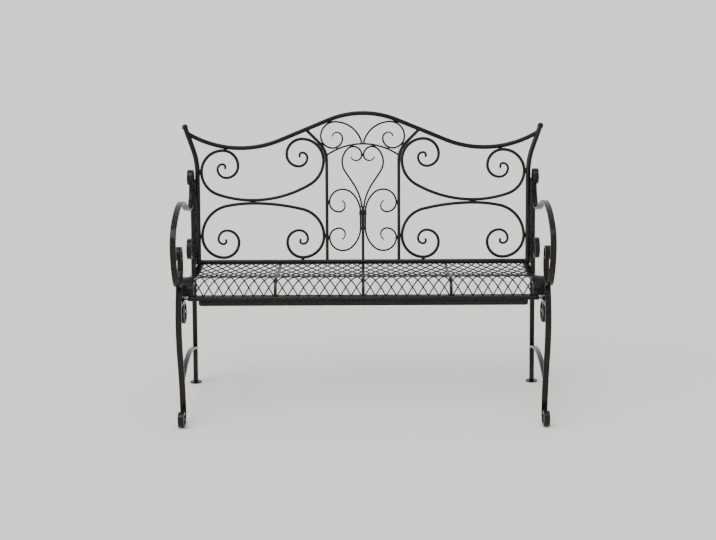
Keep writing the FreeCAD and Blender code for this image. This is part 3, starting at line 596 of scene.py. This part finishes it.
# %% Set the screws
low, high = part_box("seat_screws")
screw_x = high.x - SCREW_WIDTH / math.sqrt(3)
seats = [(sense * screw_x, (low.y + high.y) / 2, high.z - SCREW_HEAD) for sense in (-1, 1)]
fastened = grow(screw_tree, points_object("hexagon_screws", seats))
fastened.data.shade_smooth()
fastened.data.set_sharp_from_angle(angle=SHARP)
dress(fastened, "fasteners", "seat_screws")
print("screws at", [[round(c / MM) for c in seat] for seat in seats], "mm")

# %% [markdown]
# ## Welds
# Where two bars of the back touch, the smith leaves a short, lumpy bead of weld. We could place every bead by
# hand, but the model already knows where bars meet: a search tree finds the points of one bar that lie within
# a millimetre of another. Points that belong together make one bead, about as long and as deep as their
# patch. The beads themselves are a Geometry Nodes job again: a small sphere on every point, stretched and
# turned by two attributes, with noise that makes it lumpy.

# %% Collect the bars that may be welded
HALF_BAR_MM = {"back_post": 9.0, "back_top_rail": 7.75, "seat_rear_rail": 8.4, "inner_upright": 5.75,
               "upper_scroll": 5.5, "lower_scroll": 5.5, "scroll_stubs": 6.0, "centre_arch": 3.3,
               "crest_scroll": 3.3, "heart_scroll": 3.3, "centre_scroll": 3.3, "centre_post": 5.2}
welded_bars = {}
for node in bars:
    if side_less(node) in HALF_BAR_MM:
        copy = merged_copy(node)
        points = [vertex.co.copy() for vertex in copy.verts]
        welded_bars[node] = (points, BVHTree.FromBMesh(copy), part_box(node))
        copy.free()
print("bars that may be welded:", len(welded_bars))

# %% Find where two bars meet
NEAR = 1.0 * MM  # bars this close are welded
PATCH = 15.0 * MM  # points this close belong to one bead


def meeting_points(one, other):
    """The points of either bar that lie close to the other bar."""
    found = []
    for first, second in ((one, other), (other, one)):
        for vertex in welded_bars[first][0]:
            spot = welded_bars[second][1].find_nearest(vertex, NEAR)[0]
            if spot is not None:
                found.append((vertex + spot) / 2)
    return found


def patches(points):
    """Groups of points that lie near each other."""
    groups = []
    for point in points:
        near = [group for group in groups if any((point - member).length < PATCH for member in group)]
        groups = [group for group in groups if group not in near]
        groups.append([point] + [member for group in near for member in group])
    return groups


print("bars within %.0f mm of each other are welded" % (NEAR / MM))

# %% Measure one bead
LEAN = math.radians(7.5)
UP_BACK = Vector((0.0, math.sin(LEAN), math.cos(LEAN)))
OUT_OF_BACK = Vector((0.0, -math.cos(LEAN), math.sin(LEAN)))
PAST_PATCH = 1.1  # a bead reaches a tenth past its patch
LEAST_REACH, HALF_WIDTH, LEAST_DEPTH = 0.9, 0.42, 0.72  # as shares of the thinner bar's radius
MOST_REACH = 10.0 * MM


def bead(points, half_bar):
    """Place, turn and half sizes of the bead on one patch, measured in the plane of the back."""
    centre = sum(points, Vector()) / len(points)
    flat = [((p - centre).x, (p - centre).dot(UP_BACK), (p - centre).dot(OUT_OF_BACK)) for p in points]
    spread = sum(x * x - s * s for x, s, _ in flat)
    tilt = 0.5 * math.atan2(2 * sum(x * s for x, s, _ in flat), spread)
    along = math.cos(tilt) * Vector((1.0, 0.0, 0.0)) + math.sin(tilt) * UP_BACK
    reach = max(abs(x * math.cos(tilt) + s * math.sin(tilt)) for x, s, _ in flat)
    depth = max(abs(n) for _, _, n in flat)
    turn = Matrix((along, OUT_OF_BACK.cross(along), OUT_OF_BACK)).transposed().to_euler("XYZ")
    half_size = (min(max(PAST_PATCH * reach, LEAST_REACH * half_bar), MOST_REACH), HALF_WIDTH * half_bar,
                 max(PAST_PATCH * depth, LEAST_DEPTH * half_bar))
    return centre, turn, half_size


print("no bead is longer than %.0f mm" % (2 * MOST_REACH / MM))

# %% Measure a bead for every patch
beads = []
names = sorted(welded_bars)
for i, one in enumerate(names):
    for other in names[i + 1:]:
        (low_a, high_a), (low_b, high_b) = welded_bars[one][2], welded_bars[other][2]
        if any(low_a[k] > high_b[k] + NEAR or low_b[k] > high_a[k] + NEAR for k in range(3)):
            continue
        half_bar = min(HALF_BAR_MM[side_less(one)], HALF_BAR_MM[side_less(other)]) * MM
        beads += [bead(patch, half_bar) for patch in patches(meeting_points(one, other))]
print("weld beads:", len(beads))

# %% Weld tree
weld_tree, weld_in = new_tree("weld_beads", {"Lump": 7.0 * MM, "Depth": 1.4 * MM, "Seed": 4.0})
drop = add(weld_tree, "GeometryNodeMeshIcoSphere", {"Radius": 1.0, "Subdivisions": 2})
size = add(weld_tree, "GeometryNodeInputNamedAttribute", {"Name": "half_size"}, data_type="FLOAT_VECTOR")
turned = add(weld_tree, "GeometryNodeInputNamedAttribute", {"Name": "turn"}, data_type="FLOAT_VECTOR")
rotation = add(weld_tree, "FunctionNodeEulerToRotation", {0: turned})
drops = add(weld_tree, "GeometryNodeInstanceOnPoints",
            {"Points": weld_in["Geometry"], "Instance": drop, "Rotation": rotation, "Scale": size})
drops = add(weld_tree, "GeometryNodeRealizeInstances", {"Geometry": drops})
scale = add(weld_tree, "ShaderNodeMath", {0: 1.0, 1: weld_in["Lump"]}, operation="DIVIDE")
noise = add(weld_tree, "ShaderNodeTexNoise",
            {"Vector": add(weld_tree, "GeometryNodeInputPosition"), "W": weld_in["Seed"], "Scale": scale,
             "Detail": 1.0}, noise_dimensions="4D")
swell = add(weld_tree, "ShaderNodeMath", {0: noise, 1: 0.5}, operation="SUBTRACT")
swell = add(weld_tree, "ShaderNodeMath", {0: swell, 1: weld_in["Depth"]}, operation="MULTIPLY")
push = add(weld_tree, "ShaderNodeVectorMath",
           {0: add(weld_tree, "GeometryNodeInputNormal"), "Scale": swell}, operation="SCALE")
drops = add(weld_tree, "GeometryNodeSetPosition", {"Geometry": drops, "Offset": push})
finish_tree(weld_tree, drops, frame_paint)

# %% Lay the beads
laid = points_object("weld_beads", [centre for centre, _, _ in beads])
for label, entry in (("turn", 1), ("half_size", 2)):
    values = laid.data.attributes.new(label, "FLOAT_VECTOR", "POINT")
    values.data.foreach_set("vector", [value for measured in beads for value in measured[entry]])
grow(weld_tree, laid)
laid.data.shade_smooth()
dress(laid, "painted_iron")
print("faces of all beads:", len(laid.data.polygons))

# %% [markdown]
# ## Floor and light
# A plain pale floor shows the shape of the shadow and nothing else. Dark gloss paint shows mostly what it
# mirrors, so the light decides how the bars look. The room glows almost evenly in a slightly blue white, a
# little brighter near the horizon, and that gives every bar a soft sheen. A cool light from above brightens
# the upward faces, and a warm one from the left draws a line down the sides of legs and posts. Both lights
# are suns with a huge disc: unlike a panel, such a light covers the far floor as evenly as the near floor.

# %% Floor
FLOOR_REACH = 200.0
floor_corners = [(x * FLOOR_REACH, y * FLOOR_REACH, 0.0) for x, y in ((-1, -1), (1, -1), (1, 1), (-1, 1))]
floor_mesh = bpy.data.meshes.new("studio_floor")
floor_mesh.from_pydata(floor_corners, [], [(0, 1, 2, 3)])
floor = bpy.data.objects.new("studio_floor", floor_mesh)
bpy.context.scene.collection.objects.link(floor)
floor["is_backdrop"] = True
plaster = bpy.data.materials.new("pale_plaster")
plaster.use_nodes = True
plaster_shader = plaster.node_tree.nodes["Principled BSDF"]
plaster_shader.inputs["Base Color"].default_value = linear("#e6e0d6")
plaster_shader.inputs["Roughness"].default_value = 0.9
plaster_shader.inputs["Specular IOR Level"].default_value = 0.1
floor_mesh.materials.append(plaster)
print("floor laid, %.0f m wide" % (2 * FLOOR_REACH))

# %% The room
NEAR_HORIZON, OVERHEAD = "#dfe7f0", "#cfd9e4"
ROOM_STRENGTH = 1.4
world = bpy.data.worlds.new("studio_room")
world.use_nodes = True
bpy.context.scene.world = world
room = world.node_tree
room.nodes.clear()
look = add(room, "ShaderNodeTexCoord").outputs["Generated"]
upward = add(room, "ShaderNodeSeparateXYZ", {0: look}).outputs[2]
height = add(room, "ShaderNodeMapRange", {"Value": upward, "From Min": 0.0, "From Max": 0.8})
tint = add(room, "ShaderNodeMix", {"Factor": height, MIX_A: linear(NEAR_HORIZON), MIX_B: linear(OVERHEAD)},
           data_type="RGBA").outputs[MIX_RESULT]
glow = add(room, "ShaderNodeBackground", {"Color": tint, "Strength": ROOM_STRENGTH})
add(room, "ShaderNodeOutputWorld", {0: glow})
print("the room glows with strength", ROOM_STRENGTH)

# %% The two lights
def wide_sun(name, toward, disc, strength, colour):
    """A sun with a disc of the given degrees, which shines along a direction."""
    data = bpy.data.lights.new(name, "SUN")
    data.angle = math.radians(disc)
    data.energy = strength
    data.color = linear(colour)[:3]
    lamp = bpy.data.objects.new(name, data)
    bpy.context.scene.collection.objects.link(lamp)
    lamp.matrix_world = Vector(toward).to_track_quat("-Z", "Y").to_matrix().to_4x4()
    print("%s: a disc of %d degrees" % (name, disc))


wide_sun("overhead_light", toward=(0.2, 0.4, -1.0), disc=38, strength=1.5, colour="#eef3fc")
wide_sun("left_light", toward=(1.0, 0.5, -0.4), disc=50, strength=2.6, colour="#ffeedd")

# %% [markdown]
# ## The boxes at the end
# The dressed bench should fill the same box as the model it was built on, so both boxes are printed.

# %% Print both boxes
dressed_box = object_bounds()
for label, (low, high) in (("model", cad_box), ("dressed", dressed_box)):
    print(label, "box in mm:", [round((b - a) / MM, 1) for a, b in zip(low, high)])
